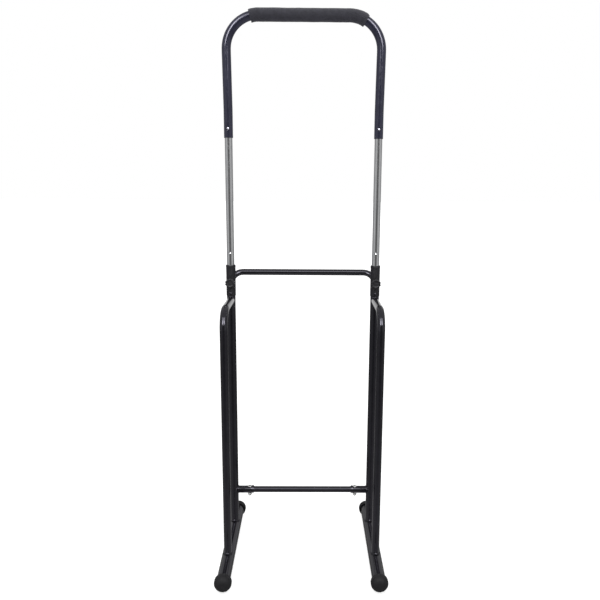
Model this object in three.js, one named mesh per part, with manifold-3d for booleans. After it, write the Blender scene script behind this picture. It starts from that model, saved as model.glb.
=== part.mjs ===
// Free-standing bed assist rail. Two floor tubes carry posts and braces, two crossbars join the sides,
// and a U-shaped handle on chrome tubes slides in the posts, where a hand knob on each collar clamps it.
// Millimetres, +Z up, +X to the right, -Y to the front. The origin is on the floor, under the middle.

import * as THREE from "three";
import { mergeVertices } from "three/addons/utils/BufferGeometryUtils.js";
import Module from "manifold-3d";

const wasm = await Module();
wasm.setup();

// Plan and clearances
const GAP = 0.3; // left between pieces that touch
const SIDE_X = 183.5; // each side frame, from the middle
const POST_Y = 85;
const BRACE_Y = -74;
const COPED_START = 5; // a welded tube starts this far from its neighbour's axis and is then cut to it
const HOLE_REACH = 32; // long enough to leave any tube that a hole crosses
const TUBE_SIDES = 20;
const BEND_STEPS = 6;

// Floor tubes and their rubber caps
const BASE_Z = 20;
const BASE_RADIUS = 16;
const BASE_WALL = 1.5;
const BASE_HALF_LENGTH = 180;
const CAP_RADIUS = 21;
const CAP_LENGTH = 23;
const CAP_LIP = 2;
const CAP_DOME_START = 12;
const CAP_DOME_STEPS = 5;
const CAP_BORE_DEPTH = 13.5;
const CAP_MOUTH_Y = BASE_HALF_LENGTH + GAP - CAP_BORE_DEPTH;

// Posts, braces and crossbars
const POST_RADIUS = 11;
const THIN_WALL = 1.2;
const POST_TOP = 731;
const BRACE_RADIUS = 9.5;
const BRACE_TOP_Z = 646;
const BRACE_BEND = 42;
const BAR_RADIUS = 8;
const LOWER_BAR_Z = 124;
const LOWER_BAR_HALF_LENGTH = 160;
const STUB_RADIUS = 9.5;
const STUB_END_X = 131;
const UPPER_BAR_Z = 712;
const UPPER_BAR_Y = 127;
const UPPER_BAR_BEND = 28; // in a plane that falls forward at 45 degrees

// Crossbar bolts, upright through stub and bar
const BOLT_X = 142;
const BOLT_RADIUS = 3;
const BOLT_HEAD_RADIUS = 5.2;
const BOLT_HEAD_HEIGHT = 2.6;
const BOLT_END_Z = 106;
const NUT_RADIUS = 5.6;
const NUT_HEIGHT = 5;

// Collars, their screws and the clamping knobs
const COLLAR_BOTTOM = 657;
const COLLAR_TOP = 736;
const COLLAR_RADIUS = 12.3;
const COLLAR_EDGE = 0.8;
const BOSS_RADIUS = 8;
const BOSS_REACH = 14; // from the post's axis to the boss face
const KNOB_Z = 692;
const KNOB_RADIUS = 12.5;
const KNOB_LENGTH = 11;
const KNOB_FLUTES = 10;
const FLUTE_RADIUS = 1.8;
const FLUTE_CENTRE = KNOB_RADIUS + 0.8;
const STUD_RADIUS = 3;
const WASHER_RADIUS = 7.2;
const WASHER_THICKNESS = 1;
const SCREW_Z = 664;
const SCREW_RADIUS = 2;
const SCREW_HEAD_RADIUS = 3.3;
const SCREW_HEAD_HEIGHT = 2.2;

// Chrome tubes and snap buttons
const CHROME_RADIUS = 9.5;
const CHROME_BOTTOM = 556;
const CHROME_TOP = 1110;
const SEAT_SPHERE = 5;
const SEAT_DEPTH = 0.8;
const UPPER_SEAT_Z = 768;
const PLUG_FACE = 3;
const PLUG_DEPTH = 15;
const BUTTON_Z = 1070;
const BUTTON_RADIUS = 3.7;
const BUTTON_REACH = 10.9; // from the tube's axis to the crown
const FLANGE_RADIUS = 5.2;
const FLANGE_BOTTOM = 4.6;
const FLANGE_TOP = 6.1;
const LEAF_WIDTH = 6;
const LEAF_THICKNESS = 0.6;
const LEAF_FOLD_RADIUS = 1.5;

// Handle and grip
const HANDLE_RADIUS = 11;
const HANDLE_BOTTOM = 1048;
const HANDLE_STRAIGHT_TOP = 1115; // from here the legs lean out a little
const HANDLE_LEG_X = 185.5;
const HANDLE_BEND = 78;
const HANDLE_TOP_Z = 1332;
const HANDLE_BEND_STEPS = 17;
const GRIP_RADIUS = 16;
const GRIP_LEFT_STEPS = 3; // bend steps that the grip covers on the left
const GRIP_RIGHT_STEPS = 6;

const blackPaint = new THREE.MeshStandardMaterial({ color: 0x1d1c20, roughness: 0.28, metalness: 0.3 });
const handlePaint = new THREE.MeshStandardMaterial({ color: 0x20212b, roughness: 0.3, metalness: 0.3 });
const chrome = new THREE.MeshStandardMaterial({ color: 0xc8cacd, roughness: 0.12, metalness: 1 });
const zinc = new THREE.MeshStandardMaterial({ color: 0xb9bbc0, roughness: 0.35, metalness: 1 });
const rubber = new THREE.MeshStandardMaterial({ color: 0x1a1a1d, roughness: 0.8 });
const blackPlastic = new THREE.MeshStandardMaterial({ color: 0x161618, roughness: 0.45 });
const foam = new THREE.MeshStandardMaterial({ color: 0x29292d, roughness: 0.95 });

/** A solid from a closed three.js geometry, turned right side out. */
function solidOf(geometry) {
  const bare = geometry.clone();
  bare.deleteAttribute("normal");
  bare.deleteAttribute("uv");
  const merged = mergeVertices(bare, 1e-4);
  const vertProperties = merged.attributes.position.array;
  const triVerts = new Uint32Array(merged.index.array);
  const solid = new wasm.Manifold(new wasm.Mesh({ numProp: 3, vertProperties, triVerts }));
  return solid.volume() < 0 ? new wasm.Manifold(flippedMesh(vertProperties, triVerts)) : solid;
}

/** The same faces, each wound the other way. */
function flippedMesh(vertProperties, triVerts) {
  const flipped = triVerts.slice();
  for (let i = 0; i < flipped.length; i += 3) {
    flipped[i] = triVerts[i + 1];
    flipped[i + 1] = triVerts[i];
  }
  return new wasm.Mesh({ numProp: 3, vertProperties, triVerts: flipped });
}

/** A three.js geometry from a solid. */
function geometryOf(solid) {
  const mesh = solid.getMesh();
  const geometry = new THREE.BufferGeometry();
  geometry.setAttribute("position", new THREE.BufferAttribute(mesh.vertProperties, 3));
  geometry.setIndex(new THREE.BufferAttribute(mesh.triVerts, 1));
  const faceted = geometry.toNonIndexed();
  faceted.computeVertexNormals();
  return faceted;
}

/** A centreline through given stations, with one tube section at each of them. */
class StationCurve extends THREE.Curve {
  constructor(stations) {
    super();
    this.stations = stations;
  }

  getPoint(t, target = new THREE.Vector3()) {
    const place = t * (this.stations.length - 1);
    const from = Math.min(Math.floor(place), this.stations.length - 2);
    return target.lerpVectors(this.stations[from], this.stations[from + 1], place - from);
  }

  getPointAt(u, target) {
    return this.getPoint(u, target);
  }

  getTangentAt(u, target) {
    return this.getTangent(u, target);
  }
}

/** Stations from corner to corner, with each inner corner rounded to the radius. */
function roundedPath(corners, radius, steps) {
  const stations = [corners[0]];
  for (let i = 1; i < corners.length - 1; i += 1) {
    const back = corners[i - 1].clone().sub(corners[i]).normalize();
    const ahead = corners[i + 1].clone().sub(corners[i]).normalize();
    const half = back.angleTo(ahead) / 2;
    const inward = back.clone().add(ahead).normalize();
    const centre = corners[i].clone().addScaledVector(inward, radius / Math.sin(half));
    const spoke = corners[i].clone().addScaledVector(back, radius / Math.tan(half)).sub(centre);
    const axis = ahead.clone().cross(back).normalize();
    for (let step = 0; step <= steps; step += 1) {
      const angle = ((Math.PI - 2 * half) * step) / steps;
      stations.push(spoke.clone().applyAxisAngle(axis, angle).add(centre));
    }
  }
  stations.push(corners[corners.length - 1]);
  return stations;
}

/** A section swept along stations, as a solid. */
function swept(section, stations) {
  const options = {
    steps: stations.length - 1,
    curveSegments: TUBE_SIDES / 2,
    extrudePath: new StationCurve(stations),
  };
  return solidOf(new THREE.ExtrudeGeometry(section, options));
}

/** A tube of the given outer radius and wall along stations, open at both ends. */
function tube(stations, radius, wall) {
  const ring = new THREE.Shape();
  ring.absarc(0, 0, radius, 0, 2 * Math.PI);
  const bore = new THREE.Path();
  bore.absarc(0, 0, radius - wall, 0, 2 * Math.PI);
  ring.holes.push(bore);
  return swept(ring, stations);
}

/** A round rod between two points. */
function rod(from, to, radius, sides = TUBE_SIDES) {
  const direction = to.clone().sub(from);
  const geometry = new THREE.CylinderGeometry(radius, radius, direction.length(), sides);
  const up = new THREE.Vector3(0, 1, 0);
  geometry.applyQuaternion(new THREE.Quaternion().setFromUnitVectors(up, direction.normalize()));
  geometry.translate((from.x + to.x) / 2, (from.y + to.y) / 2, (from.z + to.z) / 2);
  return solidOf(geometry);
}

/** A turned solid about +Z from [radius, height] pairs. */
function turned(profile, sides = TUBE_SIDES) {
  const points = profile.map(([radius, height]) => new THREE.Vector2(radius, height));
  const geometry = new THREE.LatheGeometry(points, sides);
  geometry.rotateX(Math.PI / 2);
  return solidOf(geometry);
}

function at(x, y, z) {
  return new THREE.Vector3(x, y, z);
}

/** The hole that a front-facing pin needs in an upright tube: from the tube's axis out to the front. */
function frontHole(axisY, z, radius) {
  return rod(at(0, axisY, z), at(0, axisY - HOLE_REACH, z), radius, 16);
}

/** A rod a little larger than the floor tube, to shape the ends that are welded on it. */
function baseTubeCutter() {
  return rod(at(0, -BASE_HALF_LENGTH, BASE_Z), at(0, BASE_HALF_LENGTH, BASE_Z), BASE_RADIUS + GAP);
}

/** A rod about the post's axis, to shape the ends that meet the post. */
function postCutter(radius) {
  return rod(at(0, POST_Y, 0), at(0, POST_Y, COLLAR_TOP + BAR_RADIUS), radius);
}

// Side frame pieces, drawn with the side frame at x = 0

function baseTube() {
  return tube([at(0, -BASE_HALF_LENGTH, BASE_Z), at(0, BASE_HALF_LENGTH, BASE_Z)], BASE_RADIUS, BASE_WALL);
}

/** A rubber cap about +Z with its mouth at 0, cut flat on the side that will face the floor. */
function endCap() {
  const profile = [
    [0, CAP_BORE_DEPTH],
    [BASE_RADIUS + GAP, CAP_BORE_DEPTH],
    [BASE_RADIUS + GAP, 0],
    [CAP_RADIUS - CAP_LIP, 0],
    [CAP_RADIUS, CAP_LIP],
  ];
  for (let step = 0; step < CAP_DOME_STEPS; step += 1) {
    const angle = ((Math.PI / 2) * step) / CAP_DOME_STEPS;
    const height = CAP_DOME_START + (CAP_LENGTH - CAP_DOME_START) * Math.sin(angle);
    profile.push([CAP_RADIUS * Math.sqrt(Math.cos(angle)), height]);
  }
  profile.push([0, CAP_LENGTH]);
  const sole = new THREE.BoxGeometry(2 * CAP_RADIUS, CAP_RADIUS, 3 * CAP_LENGTH);
  sole.translate(0, BASE_Z + CAP_RADIUS / 2, 0);
  return turned(profile).subtract(solidOf(sole));
}

function post() {
  const shaft = tube([at(0, POST_Y, BASE_Z + COPED_START), at(0, POST_Y, POST_TOP)], POST_RADIUS, THIN_WALL);
  return shaft
    .subtract(baseTubeCutter())
    .subtract(frontHole(POST_Y, KNOB_Z, STUD_RADIUS + GAP))
    .subtract(frontHole(POST_Y, SCREW_Z, SCREW_RADIUS + GAP));
}

function brace() {
  const corners = [
    at(0, BRACE_Y, BASE_Z + COPED_START),
    at(0, BRACE_Y, BRACE_TOP_Z),
    at(0, POST_Y - COPED_START, BRACE_TOP_Z),
  ];
  return tube(roundedPath(corners, BRACE_BEND, BEND_STEPS), BRACE_RADIUS, THIN_WALL)
    .subtract(baseTubeCutter())
    .subtract(postCutter(POST_RADIUS + GAP));
}

/** The sleeve on the post's inner side that takes the end of the lower crossbar. */
function crossbarStub(inward) {
  const start = at(inward * COPED_START, POST_Y, LOWER_BAR_Z);
  const end = at(inward * (SIDE_X - STUB_END_X), POST_Y, LOWER_BAR_Z);
  return tube([start, end], STUB_RADIUS, THIN_WALL)
    .subtract(postCutter(POST_RADIUS + GAP))
    .subtract(boltHole(inward * (SIDE_X - BOLT_X)));
}

function boltHole(x) {
  return rod(at(x, POST_Y, 0), at(x, POST_Y, 2 * LOWER_BAR_Z), BOLT_RADIUS + GAP, 16);
}

/** A sleeve over the post's top: a lip guides the chrome tube, and a boss takes the knob's washer. */
function collar() {
  const lip = POST_TOP + GAP;
  const sleeve = turned([
    [POST_RADIUS + GAP, COLLAR_BOTTOM],
    [COLLAR_RADIUS - COLLAR_EDGE, COLLAR_BOTTOM],
    [COLLAR_RADIUS, COLLAR_BOTTOM + COLLAR_EDGE],
    [COLLAR_RADIUS, COLLAR_TOP - COLLAR_EDGE],
    [COLLAR_RADIUS - COLLAR_EDGE, COLLAR_TOP],
    [CHROME_RADIUS + GAP, COLLAR_TOP],
    [CHROME_RADIUS + GAP, lip],
    [POST_RADIUS + GAP, lip],
    [POST_RADIUS + GAP, COLLAR_BOTTOM],
  ]).translate([0, POST_Y, 0]);
  const boss = rod(at(0, POST_Y - POST_RADIUS, KNOB_Z), at(0, POST_Y - BOSS_REACH, KNOB_Z), BOSS_RADIUS);
  return sleeve
    .add(boss.subtract(rod(at(0, POST_Y, COLLAR_BOTTOM), at(0, POST_Y, lip), POST_RADIUS + GAP)))
    .subtract(frontHole(POST_Y, KNOB_Z, STUD_RADIUS + GAP))
    .subtract(frontHole(POST_Y, SCREW_Z, SCREW_RADIUS + GAP));
}

// Fasteners, knobs and buttons, drawn about +Z, which ends up pointing to the front or upwards

/** A pan-head screw: its tip stops inside the post's wall, clear of the sliding tube. */
function collarScrew() {
  const face = COLLAR_RADIUS + GAP;
  return turned(
    [
      [0, CHROME_RADIUS + 2 * GAP],
      [SCREW_RADIUS, CHROME_RADIUS + 2 * GAP],
      [SCREW_RADIUS, face],
      [SCREW_HEAD_RADIUS, face],
      [SCREW_HEAD_RADIUS, face + SCREW_HEAD_HEIGHT - 1],
      [SCREW_HEAD_RADIUS - 1, face + SCREW_HEAD_HEIGHT - 0.2],
      [0, face + SCREW_HEAD_HEIGHT],
    ],
    14,
  );
}

function washer() {
  const bottom = BOSS_REACH + GAP;
  return turned([
    [STUD_RADIUS + GAP, bottom],
    [WASHER_RADIUS, bottom],
    [WASHER_RADIUS, bottom + WASHER_THICKNESS],
    [STUD_RADIUS + GAP, bottom + WASHER_THICKNESS],
    [STUD_RADIUS + GAP, bottom],
  ]);
}

/** A fluted hand knob with its stud, whose tip presses on the chrome tube. */
function knob() {
  const hub = BOSS_REACH + WASHER_THICKNESS + 2 * GAP;
  const face = hub + KNOB_LENGTH;
  const tip = CHROME_RADIUS + GAP;
  const body = turned(
    [
      [0, tip],
      [STUD_RADIUS - 0.8, tip],
      [STUD_RADIUS, tip + 0.8],
      [STUD_RADIUS, hub],
      [BOSS_RADIUS, hub],
      [BOSS_RADIUS, hub + 2],
      [KNOB_RADIUS - 1, hub + 3],
      [KNOB_RADIUS, hub + 4],
      [KNOB_RADIUS, face - 2],
      [KNOB_RADIUS - 2, face],
      [0, face],
    ],
    2 * KNOB_FLUTES,
  );
  let fluted = body;
  for (let flute = 0; flute < KNOB_FLUTES; flute += 1) {
    const angle = (2 * Math.PI * flute) / KNOB_FLUTES;
    const x = FLUTE_CENTRE * Math.cos(angle);
    const y = FLUTE_CENTRE * Math.sin(angle);
    fluted = fluted.subtract(rod(at(x, y, hub + 1), at(x, y, face + 1), FLUTE_RADIUS, 8));
  }
  return fluted;
}

function crossbarBolt() {
  const seat = LOWER_BAR_Z + STUB_RADIUS + GAP;
  return turned(
    [
      [0, BOLT_END_Z],
      [BOLT_RADIUS, BOLT_END_Z],
      [BOLT_RADIUS, seat],
      [BOLT_HEAD_RADIUS, seat],
      [BOLT_HEAD_RADIUS, seat + BOLT_HEAD_HEIGHT / 2],
      [BOLT_HEAD_RADIUS / 2, seat + BOLT_HEAD_HEIGHT],
      [0, seat + BOLT_HEAD_HEIGHT],
    ],
    14,
  );
}

/** A hexagon nut under the stub. */
function crossbarNut() {
  const top = LOWER_BAR_Z - STUB_RADIUS - GAP;
  const hexagon = rod(at(0, 0, top - NUT_HEIGHT), at(0, 0, top), NUT_RADIUS, 6);
  return hexagon.subtract(rod(at(0, 0, 0), at(0, 0, 2 * top), BOLT_RADIUS + GAP, 14));
}

/** A snap button on its folded leaf spring inside the chrome tube, whose axis is at height 0. */
function snapButton() {
  const pin = turned(
    [
      [0, FLANGE_BOTTOM],
      [FLANGE_RADIUS, FLANGE_BOTTOM],
      [FLANGE_RADIUS, FLANGE_TOP],
      [BUTTON_RADIUS, FLANGE_TOP],
      [BUTTON_RADIUS, BUTTON_REACH - 1],
      [BUTTON_RADIUS - 0.5, BUTTON_REACH - 0.5],
      [BUTTON_RADIUS - 1.7, BUTTON_REACH - 0.1],
      [0, BUTTON_REACH],
    ],
    16,
  );
  const strip = new THREE.Shape();
  strip.moveTo(-LEAF_THICKNESS / 2, -LEAF_WIDTH / 2);
  strip.lineTo(LEAF_THICKNESS / 2, -LEAF_WIDTH / 2);
  strip.lineTo(LEAF_THICKNESS / 2, LEAF_WIDTH / 2);
  strip.lineTo(-LEAF_THICKNESS / 2, LEAF_WIDTH / 2);
  strip.closePath();
  const upperArm = FLANGE_BOTTOM - LEAF_THICKNESS / 6;
  const fold = [at(0, 4, upperArm), at(0, -36, upperArm), at(0, -8, -upperArm)];
  return pin.add(swept(strip, roundedPath(fold, LEAF_FOLD_RADIUS, BEND_STEPS)));
}

// The sliding tubes, drawn with the side frame at x = 0

/** A chrome tube with the button's hole and two seats for the tip of the knob's stud. */
function chromeTube() {
  let shaft = tube([at(0, POST_Y, CHROME_BOTTOM), at(0, POST_Y, CHROME_TOP)], CHROME_RADIUS, THIN_WALL);
  shaft = shaft.subtract(frontHole(POST_Y, BUTTON_Z, BUTTON_RADIUS + GAP));
  for (const seatZ of [KNOB_Z, UPPER_SEAT_Z]) {
    const ball = new THREE.SphereGeometry(SEAT_SPHERE, 16, 12);
    ball.translate(0, POST_Y - CHROME_RADIUS + SEAT_DEPTH - SEAT_SPHERE, seatZ);
    shaft = shaft.subtract(solidOf(ball));
  }
  return shaft;
}

/** A plastic plug in the chrome tube's lower end that guides it in the post. */
function tubePlug() {
  const inside = CHROME_RADIUS - THIN_WALL - GAP;
  return turned([
    [0, CHROME_BOTTOM - PLUG_FACE],
    [CHROME_RADIUS - 1, CHROME_BOTTOM - PLUG_FACE],
    [CHROME_RADIUS, CHROME_BOTTOM - PLUG_FACE + 1],
    [CHROME_RADIUS, CHROME_BOTTOM - GAP],
    [inside, CHROME_BOTTOM - GAP],
    [inside, CHROME_BOTTOM + PLUG_DEPTH - 1],
    [inside - 1, CHROME_BOTTOM + PLUG_DEPTH],
    [0, CHROME_BOTTOM + PLUG_DEPTH],
  ]);
}

/** A point on the handle's bend: step 0 is at the top run, the last step at the leg. */
function handleBendPoint(side, step) {
  const angle = ((Math.PI / 2) * step) / HANDLE_BEND_STEPS;
  const x = HANDLE_LEG_X - HANDLE_BEND + HANDLE_BEND * Math.sin(angle);
  return at(side * x, POST_Y, HANDLE_TOP_Z - HANDLE_BEND + HANDLE_BEND * Math.cos(angle));
}

/** Stations over the top of the handle, with so many bend steps on each side. */
function handleTop(leftSteps, rightSteps) {
  const stations = [];
  for (let step = leftSteps; step >= 0; step -= 1) {
    stations.push(handleBendPoint(-1, step));
  }
  for (let step = 0; step <= rightSteps; step += 1) {
    stations.push(handleBendPoint(1, step));
  }
  return stations;
}

function uHandle() {
  const stations = [
    at(-SIDE_X, POST_Y, HANDLE_BOTTOM),
    at(-SIDE_X, POST_Y, HANDLE_STRAIGHT_TOP),
    ...handleTop(HANDLE_BEND_STEPS, HANDLE_BEND_STEPS),
    at(SIDE_X, POST_Y, HANDLE_STRAIGHT_TOP),
    at(SIDE_X, POST_Y, HANDLE_BOTTOM),
  ];
  let handle = tube(stations, HANDLE_RADIUS, THIN_WALL);
  for (const side of [-1, 1]) {
    const hole = frontHole(POST_Y, BUTTON_Z, BUTTON_RADIUS + 2 * GAP);
    handle = handle.subtract(hole.translate([side * SIDE_X, 0, 0]));
  }
  return handle;
}

function foamGrip() {
  return tube(handleTop(GRIP_LEFT_STEPS, GRIP_RIGHT_STEPS), GRIP_RADIUS, GRIP_RADIUS - HANDLE_RADIUS - GAP);
}

// Crossbars

function lowerCrossbar() {
  const ends = [-1, 1].map((side) => at(side * LOWER_BAR_HALF_LENGTH, POST_Y, LOWER_BAR_Z));
  return tube(ends, BAR_RADIUS, THIN_WALL).subtract(boltHole(-BOLT_X)).subtract(boltHole(BOLT_X));
}

/** The bar behind the posts: its ends bend forward and down onto the backs of the collars. */
function upperCrossbar() {
  const endY = POST_Y + COPED_START;
  const endZ = UPPER_BAR_Z - (UPPER_BAR_Y - endY);
  const corners = [
    at(-SIDE_X, endY, endZ),
    at(-SIDE_X, UPPER_BAR_Y, UPPER_BAR_Z),
    at(SIDE_X, UPPER_BAR_Y, UPPER_BAR_Z),
    at(SIDE_X, endY, endZ),
  ];
  let bar = tube(roundedPath(corners, UPPER_BAR_BEND, BEND_STEPS), BAR_RADIUS, THIN_WALL);
  for (const side of [-1, 1]) {
    bar = bar.subtract(postCutter(COLLAR_RADIUS + GAP).translate([side * SIDE_X, 0, 0]));
  }
  return bar;
}

// Assembly

function named(name, solid, material) {
  const mesh = new THREE.Mesh(geometryOf(solid), material);
  mesh.name = name;
  return mesh;
}

/** A mesh drawn about +Z, placed on the post's axis at a height and turned to face the front. */
function facingFront(mesh, z) {
  mesh.position.set(0, POST_Y, z);
  mesh.rotation.x = Math.PI / 2;
  return mesh;
}

/** A rubber cap on the front or rear end of a floor tube. */
function placedCap(name, frontOrRear) {
  const cap = named(name, endCap(), rubber);
  cap.rotation.x = -Math.PI / 2;
  const turn = new THREE.Group();
  turn.add(cap);
  cap.position.y = CAP_MOUTH_Y;
  turn.rotation.z = frontOrRear === "front" ? Math.PI : 0;
  turn.position.z = BASE_Z;
  return turn;
}

/** Everything that one side carries; sideways is -1 on the left and 1 on the right. */
function side(name, sideways) {
  const inward = -sideways;
  const group = new THREE.Group();
  group.position.x = sideways * SIDE_X;
  group.add(
    named(`${name}_base_tube`, baseTube(), blackPaint),
    placedCap(`${name}_front_cap`, "front"),
    placedCap(`${name}_rear_cap`, "rear"),
    named(`${name}_post`, post(), blackPaint),
    named(`${name}_brace`, brace(), blackPaint),
    named(`${name}_crossbar_stub`, crossbarStub(inward), blackPaint),
    named(`${name}_collar`, collar(), blackPlastic),
    facingFront(named(`${name}_collar_screw`, collarScrew(), blackPaint), SCREW_Z),
    facingFront(named(`${name}_knob_washer`, washer(), zinc), KNOB_Z),
    facingFront(named(`${name}_lock_knob`, knob(), blackPlastic), KNOB_Z),
    named(`${name}_chrome_tube`, chromeTube(), chrome),
    facingFront(named(`${name}_snap_button`, snapButton(), chrome), BUTTON_Z),
  );
  const plug = named(`${name}_tube_plug`, tubePlug(), blackPlastic);
  plug.position.y = POST_Y;
  const bolt = named(`${name}_crossbar_bolt`, crossbarBolt(), zinc);
  const nut = named(`${name}_crossbar_nut`, crossbarNut(), zinc);
  for (const fastener of [bolt, nut]) {
    fastener.position.set(inward * (SIDE_X - BOLT_X), POST_Y, 0);
  }
  group.add(plug, bolt, nut);
  return group;
}

const rail = new THREE.Group();
rail.add(
  side("left", -1),
  side("right", 1),
  named("lower_crossbar", lowerCrossbar(), blackPaint),
  named("upper_crossbar", upperCrossbar(), blackPaint),
  named("u_handle", uHandle(), handlePaint),
  named("foam_grip", foamGrip(), foam),
);

export default rail;
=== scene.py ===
"""Looks of the bed assist rail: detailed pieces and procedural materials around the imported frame.

Metres, +Z up, -Y to the front. Places come from the frame's boxes. The constants are shapes that a box can't
give.
"""

from math import cos, exp, pi, radians, sin, sqrt, tan, tau

import bmesh
import bpy
from mathutils import Matrix, Vector, noise


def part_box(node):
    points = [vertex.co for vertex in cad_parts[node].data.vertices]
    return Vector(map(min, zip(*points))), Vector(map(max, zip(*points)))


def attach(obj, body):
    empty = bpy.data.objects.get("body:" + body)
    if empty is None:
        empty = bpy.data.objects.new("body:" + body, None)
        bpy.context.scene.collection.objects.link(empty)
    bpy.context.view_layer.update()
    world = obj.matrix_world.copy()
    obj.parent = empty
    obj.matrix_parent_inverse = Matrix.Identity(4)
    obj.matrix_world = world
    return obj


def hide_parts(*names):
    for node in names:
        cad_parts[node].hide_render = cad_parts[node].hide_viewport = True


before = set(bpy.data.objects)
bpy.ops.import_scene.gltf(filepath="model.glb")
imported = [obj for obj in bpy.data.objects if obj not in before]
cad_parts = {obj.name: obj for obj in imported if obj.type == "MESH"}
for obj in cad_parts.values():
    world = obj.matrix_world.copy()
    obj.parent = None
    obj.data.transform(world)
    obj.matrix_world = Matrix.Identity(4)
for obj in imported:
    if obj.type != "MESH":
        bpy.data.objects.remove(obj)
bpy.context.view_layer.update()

MM = 0.001
X = Vector((1, 0, 0))
Y = Vector((0, 1, 0))
Z = Vector((0, 0, 1))
SIDES = 96  # corners of a tube's section
SIDE_NAMES = {"left": -1, "right": 1}

# Shapes that the boxes don't give
THIN_WALL = 1.2 * MM
BASE_WALL = 1.5 * MM
LIP = 0.35 * MM  # rounding of a tube's cut end
SINK = 1.5 * MM  # how far a welded tube's end goes into the one that it meets
SMALL_BEAD = 1.2 * MM  # half width of a weld
FLOOR_BEAD = 2.0 * MM  # the same for a weld on a floor tube
FLOOR_LUMP = 0.9
BRACE_BEND = 42 * MM
UPPER_BAR_BEND = 28 * MM
HANDLE_BEND = 78 * MM
HANDLE_STRAIGHT_TOP = 1115 * MM
HANDLE_KINK = 300 * MM  # radius of the slight lean in the handle's legs
GRIP_LEFT_SWEEP = radians(15.9)
GRIP_RIGHT_SWEEP = radians(31.8)
SEAT_UP = 76 * MM  # from the knob's axis to the seat that shows on the chrome tube
BUTTON_RADIUS = 3.7 * MM
CAP_BORE_DEPTH = 13.5 * MM
BUTTON_FLANGE = 5.2 * MM  # from the button's axis to the top of its flange
STUD_RADIUS = 3 * MM
STUD_HOLE = STUD_RADIUS + 0.3 * MM
SCREW_HOLE = 2.2 * MM
DRILL_DEPTH = 20 * MM
KNOB_FLUTES = 10
RIB_PITCH = 5.6 * MM
RIB_DEPTH = 0.9 * MM
FACE_DEPTH = 14 * MM  # of a cap's ball-shaped face


# Paths and meshes


def clamped(value):
    return max(0.0, min(1.0, value))


class Path:
    """A line through corners, with each inner corner rounded to its radius, measured by length."""

    def __init__(self, corners, radii=()):
        self.parts = []
        self.length = 0.0
        start = corners[0]
        for corner, after, radius in zip(corners[1:-1], corners[2:], radii):
            back = (start - corner).normalized()
            ahead = (after - corner).normalized()
            half = back.angle(ahead) / 2
            reach = radius / tan(half)
            self._add_line(start, corner + back * reach)
            centre = corner + (back + ahead).normalized() * (radius / sin(half))
            axis = ahead.cross(back).normalized()
            self._add_arc(corner + back * reach - centre, centre, axis, pi - 2 * half)
            start = corner + ahead * reach
        self._add_line(start, corners[-1])

    def _add_line(self, a, b):
        span = (b - a).length
        self.parts.append((self.length, span, ("line", a, (b - a).normalized())))
        self.length += span

    def _add_arc(self, spoke, centre, axis, angle):
        span = spoke.length * angle
        self.parts.append((self.length, span, ("arc", spoke, centre, axis)))
        self.length += span

    def at(self, s):
        """The point and the direction at a length from the start. It runs on straight beyond both ends."""
        start, _, part = [p for p in self.parts if p[0] <= s + 1e-9 or p is self.parts[0]][-1]
        if part[0] == "line":
            return part[1] + part[2] * (s - start), part[2]
        _, spoke, centre, axis = part
        turned = Matrix.Rotation((s - start) / spoke.length, 3, axis) @ spoke
        return centre + turned, axis.cross(turned).normalized()

    def marks(self, low, high, step, dense=()):
        """Lengths to put a ring at: every step, and closer near the ends and in each (middle, half, step)."""
        near = [0, 1.5 * MM, 4 * MM, 9 * MM, 18 * MM]
        places = [low + n for n in near] + [high - n for n in near]
        count = max(1, round((high - low) / step))
        places += [low + (high - low) * k / count for k in range(1, count)]
        for middle, half, fine in dense:
            many = round(2 * half / fine)
            places += [middle - half + fine * k for k in range(many + 1)]
        kept = []
        for place in sorted(p for p in places if low <= p <= high):
            if not kept or place - kept[-1] > 0.25 * MM:
                kept.append(place)
        kept[-1] = high
        return kept


def rounded_profile(points, size, looped=False):
    """The profile with each corner rounded over a short length."""
    count = len(points)
    result = []
    for i, (s, r) in enumerate(points):
        if not looped and i in (0, count - 1):
            result.append((s, r))
            continue
        before = Vector(points[i - 1]) - Vector((s, r))
        after = Vector(points[(i + 1) % count]) - Vector((s, r))
        if min(before.length, after.length) < 1e-7 or before.angle(after) > radians(168):
            result.append((s, r))
            continue
        cut = min(size, 0.45 * before.length, 0.45 * after.length)
        a = Vector((s, r)) + before.normalized() * cut
        b = Vector((s, r)) + after.normalized() * cut
        for t in (0, 0.33, 0.67, 1):
            bend = a * (1 - t) ** 2 + Vector((s, r)) * (2 * t * (1 - t)) + b * t**2
            result.append((bend[0], bend[1]))
    return result


def new_object(name, vertices, faces, sharp=40):
    """A smooth mesh object with outward normals and no doubled points."""
    mesh = bpy.data.meshes.new(name)
    mesh.from_pydata(vertices, [], faces)
    work = bmesh.new()
    work.from_mesh(mesh)
    bmesh.ops.remove_doubles(work, verts=work.verts, dist=1e-7)
    bmesh.ops.dissolve_degenerate(work, edges=work.edges, dist=1e-8)
    bmesh.ops.recalc_face_normals(work, faces=work.faces)
    work.to_mesh(mesh)
    work.free()
    obj = bpy.data.objects.new(name, mesh)
    bpy.context.scene.collection.objects.link(obj)
    smooth(obj, sharp)
    return obj


def smooth(obj, sharp=40):
    obj.data.shade_smooth()
    obj.data.set_sharp_from_angle(angle=radians(sharp))


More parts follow.
